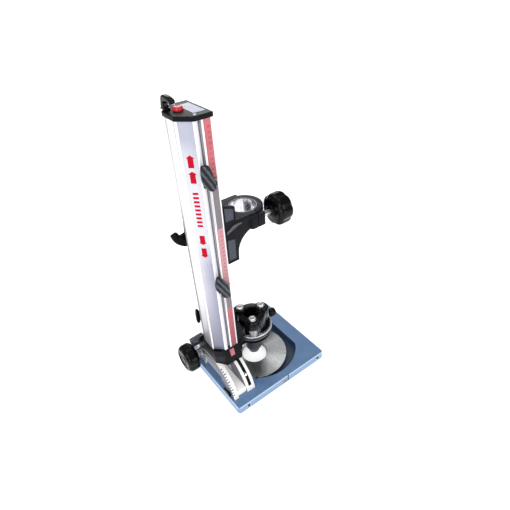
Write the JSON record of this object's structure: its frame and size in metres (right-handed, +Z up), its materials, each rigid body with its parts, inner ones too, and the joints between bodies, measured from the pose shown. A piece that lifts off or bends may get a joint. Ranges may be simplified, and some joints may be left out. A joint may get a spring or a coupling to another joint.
{
  "type": "tilting drill stand",
  "caption": "Tilting guided stand for a large hand drill: base plate with work disc, angled column with sliding collar carriage, travel stops and an adjustable roller guide for the bit.",
  "frame": {"origin": "on the underside of the base plate, on the column's tilt axis and below the middle of the column", "axes": "+Z up the column, +X from the column to the drill axis and along the tilt axis, +Y to the side away from the scale"},
  "size_m": [0.3356, 0.2594, 0.755],
  "materials": {
    "blue_casting": "satin steel-blue enamel on a casting",
    "turned_steel": "fine turned steel",
    "silver_casting": "bright machined aluminium",
    "anodised_profile": "satin anodised extrusion",
    "black_casting": "fine textured black powder coat",
    "black_gloss": "glossy black",
    "black_grip": "moulded black grip plastic",
    "zinc_steel": "bright zinc plated",
    "bronze": "bronze",
    "nylon": "natural nylon",
    "red_scale": "printed red scale film",
    "grey_bar": "blasted grey",
    "red_plastic": "moulded red plastic",
    "name_plate": "thin satin plate"
  },
  "bodies": {
    "base": {"base_plate": "blue_casting", "centre_disc": "turned_steel", "disc_screw_1": "zinc_steel", "disc_screw_2": "zinc_steel", "disc_screw_3": "zinc_steel", "rear_quadrant": "silver_casting", "front_quadrant": "silver_casting", "quadrant_bridge": "silver_casting", "degree_scale": "silver_casting", "tie_bolt_1": "zinc_steel", "tie_bolt_2": "zinc_steel", "tilt_limit_screw": "zinc_steel"},
    "quadrant_clamp": {"quadrant_clamp_lever": "black_grip"},
    "column": {"tilt_foot": "black_casting", "slot_key": "bronze", "tilt_pointer": "red_plastic", "foot_bolt_1": "zinc_steel", "foot_bolt_2": "zinc_steel", "tilt_stud": "zinc_steel", "column_profile": "anodised_profile", "scale_strip": "red_scale", "column_cap": "black_casting", "cap_plate": "name_plate", "cap_screw_1": "zinc_steel", "cap_screw_2": "zinc_steel", "cable_hook": "black_grip", "drum_axle": "zinc_steel"},
    "tilt_grip": {"tilt_knob": "black_grip"},
    "button": {"release_button": "red_plastic"},
    "drum": {"spring_drum": "nylon"},
    "carriage": {"carriage_frame": "black_casting", "slide_shoe": "nylon", "shoe_bolt_1": "zinc_steel", "shoe_bolt_2": "zinc_steel", "collar_sleeve": "turned_steel", "spring_band": "turned_steel"},
    "collar_grip": {"collar_screw": "zinc_steel", "collar_knob": "black_grip"},
    "carriage_lock": {"lock_lever": "black_grip"},
    "upper_stop": {"upper_stop_block": "black_casting", "upper_stop_bar": "grey_bar"},
    "upper_stop_clamp": {"upper_stop_lever": "black_grip"},
    "lower_stop": {"lower_stop_block": "black_casting", "lower_stop_bar": "grey_bar"},
    "lower_stop_clamp": {"lower_stop_lever": "black_grip"},
    "guide": {"guide_housing": "black_gloss", "guide_nose": "turned_steel", "housing_cover": "black_gloss", "guide_bracket": "black_casting", "guide_shoe": "nylon", "guide_bolt": "zinc_steel"},
    "guide_clamp": {"guide_clamp_lever": "black_grip"},
    "ring": {"adjusting_ring": "turned_steel", "ring_knob": "black_grip"},
    "crank_body_1": {"crank_1": "turned_steel"},
    "roller_body_1": {"roller_1": "turned_steel"},
    "crank_body_2": {"crank_2": "turned_steel"},
    "roller_body_2": {"roller_2": "turned_steel"},
    "crank_body_3": {"crank_3": "turned_steel"},
    "roller_body_3": {"roller_3": "turned_steel"}
  },
  "joints": [
    {"name": "column_tilt", "type": "hinge", "parent": "base", "child": "column", "pos_m": [0, 0, 0], "axis": [1, 0, 0], "range_deg": [0, 45]},
    {"name": "carriage_slide", "type": "slide", "parent": "column", "child": "carriage", "axis": [0, 0, 1], "range_m": [-0.155, 0.165], "deforming": ["spring_band"]},
    {"name": "upper_stop_slide", "type": "slide", "parent": "column", "child": "upper_stop", "axis": [0, 0, 1], "range_m": [-0.09, 0.065]},
    {"name": "lower_stop_slide", "type": "slide", "parent": "column", "child": "lower_stop", "axis": [0, 0, 1], "range_m": [-0.12, 0.02]},
    {"name": "guide_slide", "type": "slide", "parent": "column", "child": "guide", "axis": [0, 0, 1], "range_m": [0, 0.03]},
    {"name": "tilt_knob_turn", "type": "hinge", "parent": "column", "child": "tilt_grip", "pos_m": [-0.032, 0.047, 0.082], "axis": [1, 0, 0], "range_deg": [0, 360]},
    {"name": "collar_knob_turn", "type": "hinge", "parent": "carriage", "child": "collar_grip", "pos_m": [0.137, -0.039, 0.479], "axis": [1, 0, 0], "range_deg": [0, 360]},
    {"name": "carriage_lock_turn", "type": "hinge", "parent": "carriage", "child": "carriage_lock", "pos_m": [0.004, 0.057, 0.438], "axis": [0, 1, 0], "range_deg": [-35, 60]},
    {"name": "upper_stop_turn", "type": "hinge", "parent": "upper_stop", "child": "upper_stop_clamp", "pos_m": [0.004, -0.052, 0.612], "axis": [0, 1, 0], "range_deg": [0, 180]},
    {"name": "lower_stop_turn", "type": "hinge", "parent": "lower_stop", "child": "lower_stop_clamp", "pos_m": [0.004, -0.052, 0.352], "axis": [0, 1, 0], "range_deg": [0, 180]},
    {"name": "guide_clamp_turn", "type": "hinge", "parent": "guide", "child": "guide_clamp", "pos_m": [0.004, 0.057, 0.182], "axis": [0, 1, 0], "range_deg": [-60, 30]},
    {"name": "ring_turn", "type": "hinge", "parent": "guide", "child": "ring", "pos_m": [0.107, 0, 0.124], "axis": [0, 0, 1], "range_deg": [0, 42]},
    {"name": "crank_1_turn", "type": "hinge", "parent": "guide", "child": "crank_body_1", "pos_m": [0.139, 0, 0.12], "axis": [0, 0, 1], "range_deg": [0, 139]},
    {"name": "roller_1_spin", "type": "hinge", "parent": "crank_body_1", "child": "roller_body_1", "pos_m": [0.144, 0, 0.148], "axis": [0, 0, 1], "continuous": true},
    {"name": "crank_2_turn", "type": "hinge", "parent": "guide", "child": "crank_body_2", "pos_m": [0.091, 0.02771, 0.12], "axis": [0, 0, 1], "range_deg": [0, 139]},
    {"name": "roller_2_spin", "type": "hinge", "parent": "crank_body_2", "child": "roller_body_2", "pos_m": [0.0885, 0.03204, 0.148], "axis": [0, 0, 1], "continuous": true},
    {"name": "crank_3_turn", "type": "hinge", "parent": "guide", "child": "crank_body_3", "pos_m": [0.091, -0.02771, 0.12], "axis": [0, 0, 1], "range_deg": [0, 139]},
    {"name": "roller_3_spin", "type": "hinge", "parent": "crank_body_3", "child": "roller_body_3", "pos_m": [0.0885, -0.03204, 0.148], "axis": [0, 0, 1], "continuous": true},
    {"name": "quadrant_clamp_turn", "type": "hinge", "parent": "base", "child": "quadrant_clamp", "pos_m": [-0.035, -0.082, 0.032], "axis": [1, 0, 0], "range_deg": [0, 165]},
    {"name": "release_button_press", "type": "slide", "parent": "column", "child": "button", "axis": [0, 0, 1], "range_m": [-0.004, 0]},
    {"name": "spring_drum_turn", "type": "hinge", "parent": "column", "child": "drum", "pos_m": [-0.01, 0, 0.686], "axis": [0, 1, 0], "range_deg": [-850, 850]}
  ],
  "couplings": [
    {"joint": "crank_1_turn", "follows": "ring_turn", "ratio": 3.2857},
    {"joint": "crank_2_turn", "follows": "ring_turn", "ratio": 3.2857},
    {"joint": "crank_3_turn", "follows": "ring_turn", "ratio": 3.2857},
    {"joint": "spring_drum_turn", "follows": "carriage_slide", "rad_per_m": -71.43}
  ]
}
